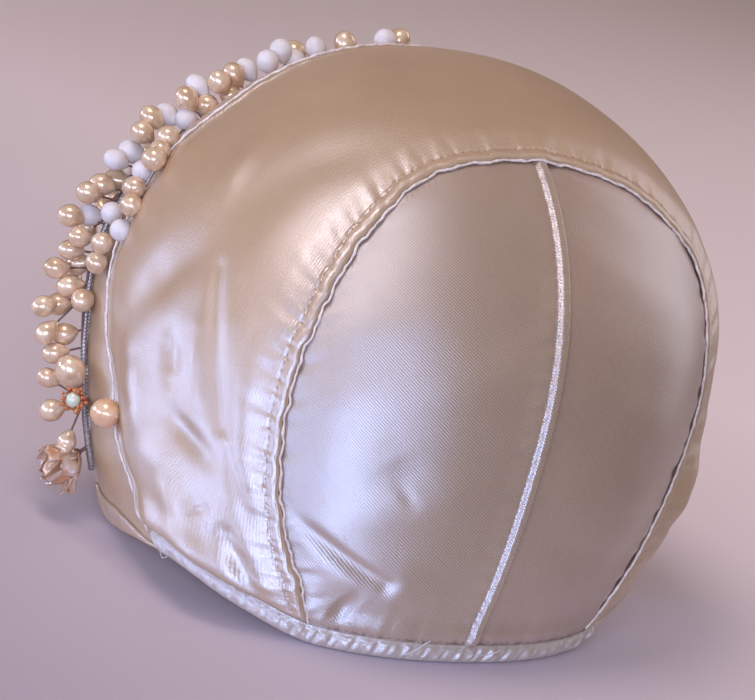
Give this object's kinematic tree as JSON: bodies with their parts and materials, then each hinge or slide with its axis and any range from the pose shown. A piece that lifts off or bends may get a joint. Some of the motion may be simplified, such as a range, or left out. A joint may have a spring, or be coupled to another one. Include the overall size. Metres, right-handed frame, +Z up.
{
  "type": "bridal cap",
  "caption": "Close-fitting satin bridal cap with two back panels, a crown band and a front band, bound at the nape and edged from ear to ear with a garland of wax buds.",
  "frame": {"origin": "middle of the cap's footprint on the surface it stands on, under the hem", "axes": "+Z up from the hem to the crown, -Y towards the face opening, +X towards the wearer's left ear"},
  "size_m": [0.2052, 0.1514, 0.165],
  "materials": {
    "satin": "champagne satin with a soft sheen",
    "satin_edge": "champagne satin, folded and stitched",
    "wax_buds": "pearl-coated and white wax on wrapped wire",
    "wax_petals": "translucent peach wax"
  },
  "bodies": {
    "root": {"back_panel_left": "satin", "back_panel_right": "satin", "crown_band": "satin", "front_band": "satin", "hem_binding": "satin_edge", "ear_facing_left": "satin_edge", "ear_facing_right": "satin_edge", "garland_left": "wax_buds", "garland_right": "wax_buds", "ear_pearls_left": "wax_buds", "ear_pearls_right": "wax_buds", "ear_flower_left": "wax_petals", "ear_flower_right": "wax_petals"}
  },
  "joints": []
}
